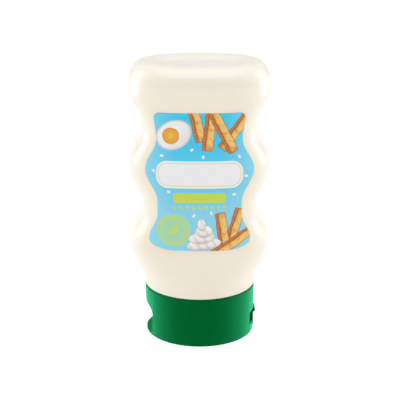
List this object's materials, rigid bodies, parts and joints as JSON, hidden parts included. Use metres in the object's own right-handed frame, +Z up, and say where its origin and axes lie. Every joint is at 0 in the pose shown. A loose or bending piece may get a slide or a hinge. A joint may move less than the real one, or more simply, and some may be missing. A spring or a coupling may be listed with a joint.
{
  "type": "mayonnaise squeeze bottle",
  "caption": "Waisted plastic squeeze bottle of mayonnaise that stands upside down on its wide flip-top cap, with a label on its front and back.",
  "frame": {"origin": "middle of the cap's foot, on the surface that the bottle stands on", "axes": "+Z up along the bottle's axis; the front label faces -Y; the lid's thumb lip is at -X and its hinge at +X"},
  "size_m": [0.066, 0.0576, 0.1301],
  "materials": {
    "bottle_plastic": "semi-gloss squeezable plastic, cream from the contents behind it",
    "cap_plastic": "satin moulded green plastic",
    "label_film": "printed plastic film, mostly sky blue"
  },
  "bodies": {
    "root": {"bottle": "bottle_plastic", "cap": "cap_plastic", "flip_lid": "cap_plastic", "label_front": "label_film", "label_back": "label_film"}
  },
  "joints": []
}
